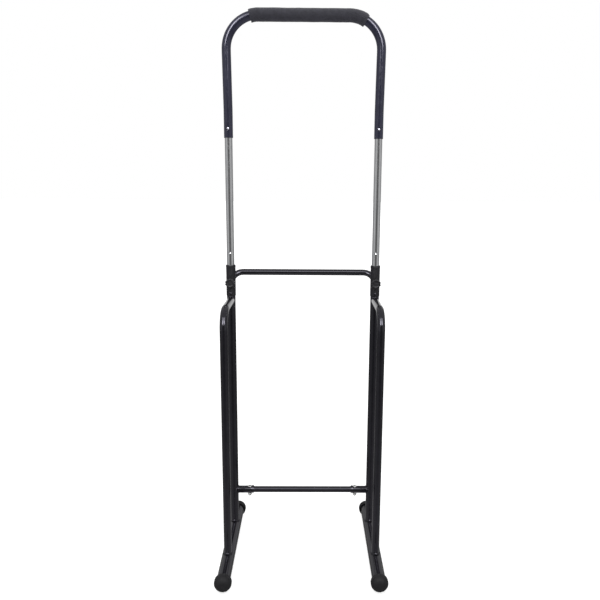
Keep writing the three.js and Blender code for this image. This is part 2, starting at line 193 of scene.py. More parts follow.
def loft(name, path, profile, across, sides=SIDES, looped=False, shape=None, sharp=40):
    """A body of rings along a path. The profile is (length, radius) pairs, looped for a body with a bore.

    across is a direction square to the path all along. shape(length, angle, radius) may change a radius.
    """
    vertices = []
    for s, r in profile:
        point, direction = path.at(s)
        side = direction.cross(across)
        for k in range(sides):
            angle = tau * k / sides
            reach = shape(s, angle, r) if shape and r > 0 else r
            vertices.append(point + (across * cos(angle) + side * sin(angle)) * reach)
    rings = len(profile)
    faces = []
    for i in range(rings if looped else rings - 1):
        a, b = i * sides, ((i + 1) % rings) * sides
        for k in range(sides):
            n = (k + 1) % sides
            faces.append((a + k, a + n, b + n, b + k))
    if not looped:
        faces.append(tuple(range(sides)))
        faces.append(tuple(range((rings - 1) * sides, rings * sides)))
    return new_object(name, vertices, faces, sharp)


def pipe(name, path, radius, wall, across, step=12 * MM, dense=(), shape=None, lip=LIP):
    """A tube with a bore and rounded ends."""
    marks = path.marks(0, path.length, step, dense)
    profile = [(s, radius) for s in marks] + [(s, radius - wall) for s in reversed(marks)]
    profile = rounded_profile(profile, lip, looped=True)
    return loft(name, path, profile, across, looped=True, shape=shape)


def turned(name, profile, origin, axis, across, sides=SIDES, looped=False, edge=0.3 * MM, shape=None):
    """A turned body: the profile is (height, radius) pairs along the axis from the origin."""
    path = Path([origin, origin + axis])
    return loft(name, path, rounded_profile(profile, edge, looped), across, sides, looped, shape)


def cut(obj, cutters):
    """Takes the cutters out of the object and deletes them."""
    for cutter in cutters:
        change = obj.modifiers.new("cut", "BOOLEAN")
        change.object = cutter
        change.operation = "DIFFERENCE"
        change.solver = "EXACT"
    bpy.context.view_layer.update()
    evaluated = obj.evaluated_get(bpy.context.evaluated_depsgraph_get())
    mesh = bpy.data.meshes.new_from_object(evaluated)
    obj.modifiers.clear()
    obj.data = mesh
    for cutter in cutters:
        bpy.data.objects.remove(cutter)
    smooth(obj)
    return obj


def front_drill(x, y, z, radius):
    """A cutter for a round hole that goes in from the front, as far as the axis."""
    profile = [(0, radius), (DRILL_DEPTH, radius)]
    return turned("drill", profile, Vector((x, y - DRILL_DEPTH, z)), Y, X, 48, edge=0)


def push(obj, centre, direction, radius, depth):
    """Presses a smooth hollow into a mesh."""
    for vertex in obj.data.vertices:
        away = vertex.co - centre
        flat = (away - direction * away.dot(direction)).length
        if away.length < 2.2 * radius and flat < radius:
            vertex.co += direction * depth * cos(flat / radius * pi / 2) ** 2


def weld(name, origin, branch, run, branch_radius, run_radius, bead, lump=0.0):
    """A rippled weld bead round the line where a branch tube meets a wider run tube, square or slanting.

    lump is how much fatter the bead gets at the front, where the weld was ended. It climbs the branch there.
    """
    across = branch.cross(run).normalized()
    rise = across.cross(branch)
    square = branch - run * branch.dot(run)
    points = []
    count = 120
    for k in range(count):
        a = tau * k / count
        spoke = (across * cos(a) + rise * sin(a)) * (branch_radius + 0.2 * MM)
        flat = spoke - run * spoke.dot(run)
        lean = square.dot(flat) / square.length_squared
        out = lean**2 - (flat.length_squared - run_radius**2) / square.length_squared
        points.append(origin + spoke + branch * (sqrt(out) - lean))
    sides = 12
    vertices = []
    faces = []
    ripples = max(12, round(tau * branch_radius / (1.7 * MM)))
    front = 0.75  # the share of the turn at which the bead passes the front
    for k, point in enumerate(points):
        ahead = (points[(k + 1) % count] - points[k - 1]).normalized()
        out = (point - origin).normalized()
        side = ahead.cross(out).normalized()
        swell = 1 + 0.16 * sin(tau * k * ripples / count) + 0.22 * noise.noise(point * 260)
        blob = lump * exp(-(((k / count - front) * 13) ** 2))
        swell += blob
        spoke = (point - origin) - branch * branch.dot(point - origin)
        point = point + (branch * 1.6 + spoke.normalized() * 0.5) * blob * bead
        for j in range(sides):
            a = tau * j / sides
            vertices.append(point + (out * cos(a) + side * sin(a)) * bead * swell)
    for k in range(count):
        for j in range(sides):
            a, b = k * sides, ((k + 1) % count) * sides
            n = (j + 1) % sides
            faces.append((a + j, a + n, b + n, b + j))
    return new_object(name, vertices, faces, 80)


def middle(node):
    low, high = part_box(node)
    return (low + high) / 2


def width(node, axis):
    low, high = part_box(node)
    return high[axis] - low[axis]


# Materials


class Nodes:
    """Short ways to add nodes to a tree. A value may be a number, a colour or another node's output."""

    def __init__(self, tree):
        self.tree = tree

    def fill(self, socket, value):
        if isinstance(value, bpy.types.NodeSocket):
            self.tree.links.new(value, socket)
        else:
            socket.default_value = value

    def add(self, kind, **values):
        """A new node, with the inputs that are named filled in."""
        node = self.tree.nodes.new(f"ShaderNode{kind}")
        for name, value in values.items():
            self.fill(node.inputs[name.replace("_", " ")], value)
        return node

    def math(self, operation, *values):
        node = self.add("Math")
        node.operation = operation
        for socket, value in zip(node.inputs, values):
            self.fill(socket, value)
        return node.outputs[0]

    def mix(self, share, a, b):
        """A colour between two, by a share from 0 to 1."""
        node = self.add("Mix", Factor=share)
        node.data_type = "RGBA"
        for socket, value in ((node.inputs[6], a), (node.inputs[7], b)):
            self.fill(socket, (*value, 1) if isinstance(value, tuple) else value)
        return node.outputs[2]

    def ramp(self, value, stops):
        """Greys for a value from 0 to 1, from (place, grey) stops: both ends first, then those between."""
        node = self.add("ValToRGB", Fac=value)
        node.color_ramp.interpolation = "EASE"
        for k, (spot, grey) in enumerate(stops):
            stop = node.color_ramp.elements[k] if k < 2 else node.color_ramp.elements.new(spot)
            stop.position = spot
            stop.color = (grey, grey, grey, 1)
        return node.outputs["Color"]


class Shader(Nodes):
    """A node tree for one principled material, in the object's own coordinates."""

    def __init__(self, name):
        self.material = bpy.data.materials.new(name)
        self.material.use_nodes = True
        super().__init__(self.material.node_tree)
        self.surface = next(n for n in self.tree.nodes if n.type == "BSDF_PRINCIPLED")
        self.place = self.add("TexCoord").outputs["Object"]

    def set(self, **values):
        for name, value in values.items():
            self.fill(self.surface.inputs[name.replace("_", " ")], value)

    def noise(self, scale, detail=3.0, roughness=0.55, stretch=(1, 1, 1)):
        spot = self.add("Mapping", Scale=stretch, Vector=self.place).outputs["Vector"]
        node = self.add("TexNoise", Scale=scale, Detail=detail, Roughness=roughness, Vector=spot)
        return node.outputs["Fac"]

    def cells(self, scale):
        return self.add("TexVoronoi", Scale=scale, Vector=self.place).outputs["Distance"]

    def spread(self, value, low, high, to_low=0.0, to_high=1.0):
        """The value carried from one span to another, and kept inside it."""
        spans = {"From Min": low, "From Max": high, "To Min": to_low, "To Max": to_high}
        return self.add("MapRange", Value=value, **spans).outputs["Result"]

    def edges(self, low, high, patch_scale):
        """Where the surface is sharply convex, broken up into patches: 0 to 1."""
        sharp = self.spread(self.add("NewGeometry").outputs["Pointiness"], low, high)
        patches = self.spread(self.noise(patch_scale, 4, 0.65), 0.42, 0.62)
        return self.math("MULTIPLY", sharp, patches)

    def upward(self, low, high):
        """How far the surface faces up: 0 to 1."""
        split = self.add("SeparateXYZ", Vector=self.add("NewGeometry").outputs["Normal"])
        return self.spread(split.outputs["Z"], low, high)

    def bump(self, *layers):
        """Bump from (height, strength, distance) layers, one over the other."""
        under = {}
        for height, strength, distance in layers:
            node = self.add("Bump", Strength=strength, Distance=distance, Height=height, **under)
            under = {"Normal": node.outputs["Normal"]}
        self.set(**under)


def paint_material(name, dark, light, worn, smoothest, roughest):
    """Powder coat: faint orange peel, cloudy colour, thin coat at the edges, a little dust on top."""
    s = Shader(name)
    cloud = s.spread(s.noise(38, 4), 0.35, 0.68)
    dust = s.math("MULTIPLY", s.upward(0.5, 1.0), s.spread(s.noise(210, 5, 0.7), 0.45, 0.8, 0, 0.35))
    colour = s.mix(dust, s.mix(cloud, dark, light), tuple(c * 1.8 + 0.008 for c in light))
    edge = s.edges(0.54, 0.62, 320)
    rough = s.spread(s.noise(85, 5, 0.6), 0.3, 0.7, smoothest, roughest)
    rough = s.math("ADD", rough, s.math("MULTIPLY", dust, 0.2))
    rough = s.math("ADD", rough, s.math("MULTIPLY", edge, 0.18))
    s.set(Base_Color=s.mix(edge, colour, worn), Roughness=rough)
    s.set(IOR=1.56, Specular_Tint=(0.88, 0.865, 1.0, 1))
    s.bump((s.noise(900, 2, 0.5), 0.03, 0.0002), (s.noise(60, 2), 0.012, 0.0006))
    return s.material


def chrome_material():
    """Bright plate over drawn tube: lengthwise draw lines, faint smudges and pin-point marks."""
    s = Shader("chrome_plate")
    smudge = s.spread(s.noise(55, 5, 0.65), 0.4, 0.72)
    colour = s.mix(smudge, (0.60, 0.605, 0.615), (0.52, 0.525, 0.54))
    lines = s.noise(900, 3, 0.6, (1, 1, 0.012))
    rough = s.math("ADD", s.spread(lines, 0.3, 0.7, 0.09, 0.17), s.math("MULTIPLY", smudge, 0.07))
    s.set(Base_Color=colour, Roughness=rough, Metallic=1.0)
    s.bump((lines, 0.015, 0.0001), (s.noise(30, 2), 0.02, 0.0008))
    return s.material


def zinc_material():
    """Clear zinc plate: cool grey with faint yellow, mottled and slightly rough."""
    s = Shader("zinc_plate")
    mottle = s.spread(s.noise(420, 4, 0.6), 0.35, 0.7)
    colour = s.mix(mottle, (0.66, 0.67, 0.69), (0.54, 0.53, 0.50))
    colour = s.mix(s.edges(0.53, 0.6, 900), colour, (0.78, 0.78, 0.79))
    s.set(Base_Color=colour, Roughness=s.spread(s.noise(700, 4), 0.3, 0.7, 0.24, 0.42), Metallic=1.0)
    s.bump((s.noise(1500, 3), 0.12, 0.00012))
    return s.material


def rubber_material():
    """Moulded rubber: fine stipple, grey bloom, and pale scuffs on its edges."""
    s = Shader("moulded_rubber")
    bloom = s.spread(s.noise(120, 5, 0.65), 0.35, 0.72)
    colour = s.mix(bloom, (0.0078, 0.0075, 0.0092), (0.0138, 0.0132, 0.0160))
    colour = s.mix(s.edges(0.53, 0.62, 420), colour, (0.045, 0.044, 0.047))
    s.set(Base_Color=colour, Roughness=s.spread(s.noise(240, 4), 0.3, 0.7, 0.62, 0.82))
    s.set(IOR=1.5, Sheen_Weight=0.04, Sheen_Roughness=0.45, Specular_IOR_Level=0.22)
    s.bump((s.cells(1100), 0.35, 0.0003), (s.noise(300, 4), 0.12, 0.0004))
    return s.material


def satin_material():
    """Tumbled nickel plate: pale, satin and finely pitted."""
    s = Shader("satin_nickel")
    tone = s.spread(s.noise(600, 4, 0.6), 0.35, 0.7)
    colour = s.mix(tone, (0.58, 0.58, 0.64), (0.50, 0.50, 0.56))
    s.set(Base_Color=colour, Roughness=s.spread(s.noise(900, 3), 0.3, 0.7, 0.32, 0.46), Metallic=1.0)
    s.bump((s.noise(2400, 2), 0.15, 0.0001))
    return s.material


def plastic_material():
    """Moulded plastic with a spark-eroded grain, a little glossier where hands rub it."""
    s = Shader("moulded_plastic")
    tone = s.spread(s.noise(150, 4), 0.35, 0.7)
    colour = s.mix(tone, (0.0110, 0.0105, 0.0135), (0.0215, 0.0207, 0.0262))
    rub = s.edges(0.53, 0.62, 500)
    rough = s.spread(s.noise(330, 4), 0.3, 0.7, 0.40, 0.56)
    rough = s.math("SUBTRACT", rough, s.math("MULTIPLY", rub, 0.12))
    s.set(Base_Color=s.mix(rub, colour, (0.055, 0.055, 0.057)), Roughness=rough)
    s.set(IOR=1.48, Specular_IOR_Level=0.3)
    s.bump((s.noise(2200, 2), 0.28, 0.00016), (s.cells(900), 0.10, 0.0002))
    return s.material


def foam_material():
    """Closed-cell foam, skin rubbed open: small cells with painted shade inside, soft mottling, matte with a
    faint sheen.
    """
    s = Shader("foam_rubber")
    mottle = s.spread(s.noise(70, 5, 0.65), 0.32, 0.72)
    cell = s.cells(1250)
    # Painted shade: the hollows of the open cells are coloured darker than the foam.
    painted_pore_shade = s.spread(cell, 0.0, 0.5, 0.75, 0.0)
    colour = s.mix(mottle, (0.038, 0.0374, 0.051), (0.058, 0.0568, 0.077))
    colour = s.mix(painted_pore_shade, colour, (0.014, 0.014, 0.016))
    s.set(Base_Color=colour, Roughness=s.spread(s.noise(180, 4), 0.3, 0.7, 0.82, 0.96))
    s.set(IOR=1.45, Sheen_Weight=0.25, Sheen_Roughness=0.5, Specular_IOR_Level=0.3)
    s.bump((cell, 0.55, 0.0005), (s.noise(2600, 3, 0.6), 0.25, 0.0003), (s.noise(110, 3), 0.3, 0.001))
    return s.material


MATERIALS = {
    "black_paint": paint_material(
        "black_coat", (0.0068, 0.0065, 0.0082), (0.0108, 0.0103, 0.0130), (0.05, 0.05, 0.055), 0.10, 0.17
    ),
    "handle_paint": paint_material(
        "blue_black_coat", (0.0230, 0.0242, 0.046), (0.0290, 0.0303, 0.058), (0.06, 0.06, 0.08), 0.13, 0.20
    ),
    "chrome": chrome_material(),
    "zinc": zinc_material(),
    "rubber": rubber_material(),
    "black_plastic": plastic_material(),
    "foam": foam_material(),
}
SATIN = satin_material()


def place(obj, body, slot, *nodes, material=None):
    """Gives a finished piece its material, the slot's unless one is given, puts it on its body, and hides the
    nodes that it stands for.
    """
    obj.data.materials.clear()
    obj.data.materials.append(material or MATERIALS[slot])
    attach(obj, body)
    if nodes:
        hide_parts(*nodes)
    return obj


# Side frame pieces


def base_tube(side):
    node = f"{side}_base_tube"
    low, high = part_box(node)
    centre = middle(node)
    path = Path([Vector((centre.x, low.y, centre.z)), Vector((centre.x, high.y, centre.z))])
    radius = width(node, 0) / 2
    place(pipe(f"{side}_floor_tube", path, radius, BASE_WALL, X), "base_frame", "black_paint", node)
    return centre, radius


def end_cap(side, end):
    """A rubber cap: a rolled rim at the mouth, a ring groove, a ribbed ball-shaped face and a flat sole."""
    node = f"{side}_{end}_cap"
    low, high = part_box(node)
    facing = -1 if end == "front" else 1
    mouth = high.y if end == "front" else low.y
    length = width(node, 1)
    radius = width(node, 0) / 2 - 0.3 * MM
    bore = width(f"{side}_base_tube", 0) / 2 + 0.1 * MM
    centre = Vector((middle(node).x, mouth, middle(f"{side}_base_tube").z))
    face_start = length - FACE_DEPTH
    profile = [
        (CAP_BORE_DEPTH, 0),
        (CAP_BORE_DEPTH, bore),
        (2.4 * MM, bore),
        (0.8 * MM, bore + 1.2 * MM),
        (0, bore + 2.0 * MM),
        (0, radius - 1.5 * MM),
        (1.0 * MM, radius - 0.2 * MM),
        (3.4 * MM, radius - 0.1 * MM),
        (3.9 * MM, radius - 0.8 * MM),
        (5.0 * MM, radius - 0.8 * MM),
        (5.5 * MM, radius - 0.1 * MM),
    ]
    rings = 40
    for k in range(rings):
        angle = pi / 2 * k / rings
        profile.append((face_start + (length - face_start) * sin(angle), radius * cos(angle) ** 0.72))
    profile += [(length, 2.2 * MM), (length - 0.4 * MM, 1.6 * MM), (length - 0.4 * MM, 0)]

    def ribbed(s, angle, r):
        """Slanting ribs on the lower half of the face."""
        low_side = clamped(2.5 * facing * sin(angle) - 0.2)
        on_face = clamped((s - face_start - 2 * MM) / (2 * MM)) * clamped((r - 4 * MM) / (3 * MM))
        wave = 0.5 + 0.5 * cos(tau * (r * cos(angle) + facing * r * sin(angle)) / RIB_PITCH)
        return r - RIB_DEPTH * low_side * on_face * wave

    cap = turned(f"{side}_{end}_rubber_cap", profile, centre, Y * facing, X, 144, edge=0.5 * MM, shape=ribbed)
    for vertex in cap.data.vertices:
        vertex.co.z = max(vertex.co.z, 0.0)
    place(cap, "base_frame", "rubber", node)


def post(side, base_centre, base_radius):
    node = f"{side}_post"
    low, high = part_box(node)
    x, y = middle(node).x, middle(node).y
    radius = width(node, 0) / 2
    path = Path([Vector((x, y, low.z - SINK)), Vector((x, y, high.z))])
    tube = pipe(f"{side}_post_tube", path, radius, THIN_WALL, X, step=20 * MM)
    cut(tube, [
        front_drill(x, y, middle(f"{side}_lock_knob").z, STUD_HOLE),
        front_drill(x, y, middle(f"{side}_collar_screw").z, SCREW_HOLE),
    ])
    place(tube, "base_frame", "black_paint", node)
    foot = Vector((x, y, base_centre.z))
    bead = weld(f"{side}_post_weld", foot, Z, Y, radius, base_radius, FLOOR_BEAD, FLOOR_LUMP)
    place(bead, "base_frame", "black_paint")
    return Vector((x, y, 0)), radius


def brace(side, base_centre, base_radius, post_axis, post_radius):
    node = f"{side}_brace"
    low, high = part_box(node)
    x = middle(node).x
    radius = width(node, 0) / 2
    y, z = low.y + radius, high.z - radius
    corners = [
        Vector((x, y, low.z - SINK)),
        Vector((x, y, z)),
        Vector((x, post_axis.y - post_radius + SINK, z)),
    ]
    path = Path(corners, [BRACE_BEND])
    tube = pipe(f"{side}_brace_tube", path, radius, THIN_WALL, X, step=5 * MM)
    place(tube, "base_frame", "black_paint", node)
    foot = Vector((x, y, base_centre.z))
    top = Vector((x, post_axis.y, z))
    foot_bead = weld(f"{side}_brace_foot_weld", foot, Z, Y, radius, base_radius, FLOOR_BEAD, FLOOR_LUMP)
    top_bead = weld(f"{side}_brace_top_weld", top, -Y, Z, radius, post_radius, SMALL_BEAD)
    for bead in (foot_bead, top_bead):
        place(bead, "base_frame", "black_paint")


def crossbar_stub(side, post_axis, post_radius):
    """The sleeve for the lower crossbar, dented under the bolt's head and flared a little at its mouth."""
    node = f"{side}_crossbar_stub"
    low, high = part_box(node)
    inward = -SIDE_NAMES[side]
    radius = width(node, 2) / 2
    z = middle(node).z
    mouth = high.x if inward > 0 else low.x
    start = post_axis.x + inward * (post_radius - SINK)
    bolt_x = middle(f"{side}_crossbar_bolt").x
    path = Path([Vector((start, post_axis.y, z)), Vector((mouth, post_axis.y, z))])

    def flared(s, angle, r):
        hump = exp(-(((path.length - s) - 3.2 * MM) / (2.6 * MM)) ** 2)
        up = max(0.0, inward * sin(angle)) ** 2
        return r + 1.3 * MM * hump * (0.2 + 0.8 * up)

    stub = pipe(f"{side}_stub_tube", path, radius, THIN_WALL, Y, step=1.2 * MM, shape=flared)
    push(stub, Vector((bolt_x, post_axis.y, z + radius)), -Z, 6.5 * MM, 1.5 * MM)
    place(stub, "base_frame", "black_paint", node)
    root = Vector((post_axis.x, post_axis.y, z))
    bead = weld(f"{side}_stub_weld", root, X * inward, Z, radius, post_radius, SMALL_BEAD)
    place(bead, "base_frame", "black_paint")


def collar(side, post_axis):
    """The plastic sleeve on the post's top: a rim and a boss behind the knob."""
    node = f"{side}_collar"
    low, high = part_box(node)
    radius = width(node, 0) / 2
    outer = radius - 0.35 * MM
    bore = width(f"{side}_post", 0) / 2 + 0.15 * MM
    guide = width(f"{side}_chrome_tube", 0) / 2 + 0.25 * MM
    height = high.z - low.z
    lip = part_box(f"{side}_post")[1].z + 0.3 * MM - low.z
    profile = [
        (0, bore),
        (0, outer - 0.7 * MM),
        (0.8 * MM, outer),
        (height - 6.6 * MM, outer),
        (height - 6.0 * MM, radius),
        (height - 1.0 * MM, radius),
        (height, radius - 1.0 * MM),
        (height, guide),
        (lip, guide),
        (lip, bore),
    ]
    dense = []
    for (s, r), (t, q) in zip(profile, profile[1:] + profile[:1]):
        dense.append((s, r))
        parts = int(abs(t - s) // (6 * MM))
        dense += [(s + (t - s) * k / parts, r + (q - r) * k / parts) for k in range(1, parts)]
    base = Vector((post_axis.x, post_axis.y, low.z))
    sleeve = turned(f"{side}_collar_sleeve", dense, base, Z, X, SIDES, True, 0.35 * MM)
    knob_z = middle(f"{side}_lock_knob").z
    screw_z = middle(f"{side}_collar_screw").z
    cut(sleeve, [
        front_drill(post_axis.x, post_axis.y, knob_z, STUD_HOLE),
        front_drill(post_axis.x, post_axis.y, screw_z, SCREW_HOLE + 0.1 * MM),
    ])
    place(sleeve, "base_frame", "black_plastic", node)
    boss_face = post_axis.y - low.y
    root = radius - 3.0 * MM
    rim = 8 * MM
    ring = [
        (root, STUD_HOLE),
        (root, rim + 1.6 * MM),
        (radius - 0.2 * MM, rim + 0.9 * MM),
        (boss_face - 0.5 * MM, rim),
        (boss_face, rim - 0.5 * MM),
        (boss_face, STUD_HOLE),
    ]
    knob_axis = Vector((post_axis.x, post_axis.y, knob_z))
    boss = turned(f"{side}_collar_boss", ring, knob_axis, -Y, X, 64, True, 0.3 * MM)
    place(boss, "base_frame", "black_plastic")


def collar_screw(side, post_axis):
    """A pan-head screw with a cross recess."""
    node = f"{side}_collar_screw"
    low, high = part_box(node)
    head = width(node, 2) / 2
    face = post_axis.y - low.y
    tip = post_axis.y - high.y
    seat = face - 2.2 * MM - 0.2 * MM
    profile = [
        (tip, 0),
        (tip, 1.7 * MM),
        (tip + 0.4 * MM, 2 * MM),
        (seat, 2 * MM),
        (seat, head - 0.2 * MM),
        (seat + 0.4 * MM, head),
    ]
    for k in range(1, 9):
        angle = pi / 2 * k / 8
        profile.append((seat + 0.9 * MM + (face - seat - 0.9 * MM) * sin(angle), head * cos(angle) ** 0.8))
    origin = Vector((post_axis.x, post_axis.y, middle(node).z))
    screw = turned(f"{side}_pan_screw", profile, origin, -Y, X, 48, edge=0.12 * MM)
    slots = []
    for turn in (radians(20), radians(110)):
        bpy.ops.mesh.primitive_cube_add(size=1, location=(origin.x, low.y, origin.z), rotation=(0, turn, 0))
        slot = bpy.context.object
        slot.scale = (3.6 * MM, 1.9 * MM, 0.8 * MM)
        slots.append(slot)
    cut(screw, slots)
    place(screw, "base_frame", "black_paint", node)


def washer(side):
    node = f"{side}_knob_washer"
    low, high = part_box(node)
    centre = middle(node)
    radius = width(node, 0) / 2
    thick = high.y - low.y
    profile = [(0, STUD_RADIUS + 0.25 * MM), (0, radius), (thick, radius), (thick, STUD_RADIUS + 0.25 * MM)]
    origin = Vector((centre.x, high.y, centre.z))
    ring = turned(f"{side}_plain_washer", profile, origin, -Y, X, 64, True, 0.25 * MM)
    place(ring, f"{side}_knob_washer", "zinc", node)


def knob(side):
    """A fluted hand knob with a dished face, and a separate threaded stud that turns with it."""
    node = f"{side}_lock_knob"
    low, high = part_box(node)
    centre = middle(node)
    radius = max(width(node, 0), width(node, 2)) / 2
    face = low.y
    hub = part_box(f"{side}_knob_washer")[0].y - 0.3 * MM
    depth = hub - face
    origin = Vector((centre.x, hub, centre.z))
    profile = [
        (0, 0),
        (0, 7.4 * MM),
        (1.2 * MM, 8.2 * MM),
        (2.6 * MM, 9.0 * MM),
        (3.6 * MM, radius - 1.0 * MM),
        (4.6 * MM, radius),
        (depth - 2.6 * MM, radius),
        (depth - 1.3 * MM, radius - 0.5 * MM),
        (depth - 0.3 * MM, radius - 1.9 * MM),
        (depth, radius - 3.4 * MM),
        (depth - 0.2 * MM, radius - 4.6 * MM),
        (depth - 0.9 * MM, radius - 6.0 * MM),
        (depth - 0.9 * MM, 2.4 * MM),
        (depth - 0.6 * MM, 0),
    ]

    def fluted(s, angle, r):
        wave = 0.5 + 0.5 * cos(KNOB_FLUTES * angle)
        share = clamped((r - 9.2 * MM) / (2.2 * MM))
        return r - 1.5 * MM * share * wave**2.2

    body = turned(f"{side}_fluted_knob", profile, origin, -Y, X, 160, edge=0.5 * MM, shape=fluted)
    place(body, f"{side}_lock_knob", "black_plastic", node)
    stud_end = high.y - hub
    pitch = 1.0 * MM
    rings_per_turn = 6
    rings = int((stud_end + pitch) / pitch) * rings_per_turn
    ridge = []
    for k in range(rings + 1):
        ridge.append((-1.0 * MM + (stud_end + 0.9 * MM) * k / rings, STUD_RADIUS - 0.15 * MM))

    def threaded(s, angle, r):
        phase = (s / pitch + angle / tau) % 1.0
        return r - 0.28 * MM * abs(2 * phase - 1)

    stud = turned(f"{side}_knob_stud", ridge, origin, Y, X, 48, edge=0, shape=threaded)
    place(stud, f"{side}_lock_knob", "zinc")


def crossbar_bolt(side):
    """A bolt with a low domed head pulled down into the stub's dent, and its thread below the nut."""
    node = f"{side}_crossbar_bolt"
    low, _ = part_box(node)
    centre = middle(node)
    stub_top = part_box(f"{side}_crossbar_stub")[1].z
    head = width(node, 0) / 2
    seat = stub_top - 1.2 * MM
    profile = [
        (0, 0),
        (0, 2.2 * MM),
        (0.8 * MM, 2.9 * MM),
        (seat - low.z, 2.9 * MM),
        (seat - low.z, head - 0.3 * MM),
        (seat - low.z + 0.5 * MM, head),
    ]
    for k in range(1, 11):
        angle = pi / 2 * k / 10
        profile.append((seat - low.z + 0.5 * MM + 2.1 * MM * sin(angle), head * cos(angle) ** 0.7))
    origin = Vector((centre.x, centre.y, low.z))
    dense = []
    for (s, r), (t, q) in zip(profile, profile[1:]):
        dense.append((s, r))
        parts = int((t - s) // (0.25 * MM)) if abs(q - r) < 1e-9 and t - s > 5 * MM else 1
        dense += [(s + (t - s) * k / parts, r) for k in range(1, parts)]
    dense.append(profile[-1])

    def threaded(s, angle, r):
        if r > 2.95 * MM or s > 20 * MM:
            return r
        return r - 0.25 * MM * abs(2 * ((s / MM - angle / tau) % 1.0) - 1)

    path = Path([origin, origin + Z])
    bolt = loft(f"{side}_dome_bolt", path, dense, X, 48, shape=threaded)
    place(bolt, "base_frame", "zinc", node)


def crossbar_nut(side):
    """A hexagon nut with chamfered corners."""
    node = f"{side}_crossbar_nut"
    low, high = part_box(node)
    centre = middle(node)
    corner = max(width(node, 0), width(node, 1)) / 2
    height = high.z - low.z
    flat = corner * cos(pi / 6)
    bore = 3.05 * MM

    def hexagon(s, angle, r):
        if r < flat - 0.6 * MM:
            return r
        turn = (angle + pi / 6) % (pi / 3) - pi / 6
        return min(r, flat / cos(turn))

    profile = [
        (0, bore),
        (0, flat - 0.2 * MM),
        (0.9 * MM, corner),
        (height - 0.9 * MM, corner),
        (height, flat - 0.2 * MM),
        (height, bore),
    ]
    origin = Vector((centre.x, centre.y, low.z))
    nut = turned(f"{side}_hex_nut", profile, origin, Z, X, 96, True, 0.1 * MM, hexagon)
    smooth(nut, 25)
    place(nut, "base_frame", "zinc", node)


# The sliding handle's pieces


def chrome_tube(side):
    """A chrome tube with rolled ends, the button's hole, and two round seats pressed in its front."""
    node = f"{side}_chrome_tube"
    low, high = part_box(node)
    centre = middle(node)
    radius = width(node, 0) / 2
    path = Path([Vector((centre.x, centre.y, low.z)), Vector((centre.x, centre.y, high.z))])
    knob_z = middle(f"{side}_lock_knob").z
    seats = [knob_z, knob_z + SEAT_UP]
    dense = [(z - low.z, 5 * MM, 0.35 * MM) for z in seats]
    tube = pipe(f"{side}_chrome_shaft", path, radius, THIN_WALL, X, step=20 * MM, dense=dense)
    for z in seats:
        push(tube, Vector((centre.x, centre.y - radius, z)), Y, 3.6 * MM, 1.1 * MM)
    cut(tube, [front_drill(centre.x, centre.y, button_height(side), BUTTON_RADIUS + 0.25 * MM)])
    place(tube, "sliding_handle", "chrome", node)
    return centre


def button_height(side):
    """The button's axis: its flange, the widest round part, is at the top of the node's box."""
    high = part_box(f"{side}_snap_button")[1]
    return high.z - BUTTON_FLANGE


def snap_button(side, tube_centre):
    """A domed button, with a leaf spring folded behind it inside the tube."""
    node = f"{side}_snap_button"
    low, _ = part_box(node)
    z = button_height(side)
    reach = tube_centre.y - low.y
    origin = Vector((tube_centre.x, tube_centre.y, z))
    profile = [(4.6 * MM, 0), (4.6 * MM, 5.1 * MM), (5.9 * MM, 5.1 * MM), (5.9 * MM, BUTTON_RADIUS)]
    dome = 2.6 * MM
    for k in range(12):
        angle = pi / 2 * k / 12
        profile.append((reach - dome + dome * sin(angle), BUTTON_RADIUS * cos(angle) ** 0.75))
    profile.append((reach, 0))
    button = turned(f"{side}_button", profile, origin, -Y, X, 64, edge=0.15 * MM)
    place(button, f"{side}_snap_button", "chrome", node, material=SATIN)
    arm = 4.5 * MM
    corners = [
        origin + Vector((0, -arm, 4 * MM)),
        origin + Vector((0, -arm, -36 * MM)),
        origin + Vector((0, arm, -8 * MM)),
    ]
    path = Path(corners, [1.5 * MM])
    leaf_profile = [(s, 3 * MM) for s in path.marks(0, path.length, 0.8 * MM)]

    def strip(s, angle, r):
        """A flat section, 6 mm wide and 0.5 mm thick."""
        half_thick = 0.25 * MM
        along, over = abs(cos(angle)), abs(sin(angle))
        return min(r / max(along, 1e-6), half_thick / max(over, 1e-6))

    leaf = loft(f"{side}_button_leaf", path, leaf_profile, X, 24, shape=strip)
    place(leaf, f"{side}_snap_button", "chrome", material=SATIN)


def handle_path():
    """The handle's centreline, from the left leg's end to the right leg's, and its tube's radius."""
    low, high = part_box("u_handle")
    radius = width("u_handle", 1) / 2
    y = middle("u_handle").y
    leg = high.x - radius
    foot = middle("right_chrome_tube").x
    top = high.z - radius
    kink = top - HANDLE_BEND - 6 * MM
    half = [(foot, low.z), (foot, HANDLE_STRAIGHT_TOP), (leg, kink), (leg, top)]
    corners = [Vector((-x, y, z)) for x, z in half] + [Vector((x, y, z)) for x, z in reversed(half)]
    kinks = [HANDLE_KINK, HANDLE_KINK, HANDLE_BEND]
    return Path(corners, kinks + kinks[::-1]), radius


def u_handle():
    path, radius = handle_path()
    tube = pipe("handle_tube", path, radius, THIN_WALL, Y, step=3 * MM, lip=0.5 * MM)
    y = middle("u_handle").y
    drills = []
    for side in SIDE_NAMES:
        x = middle(f"{side}_chrome_tube").x
        drills.append(front_drill(x, y, button_height(side), BUTTON_RADIUS + 0.55 * MM))
    cut(tube, drills)
    place(tube, "sliding_handle", "handle_paint", "u_handle")


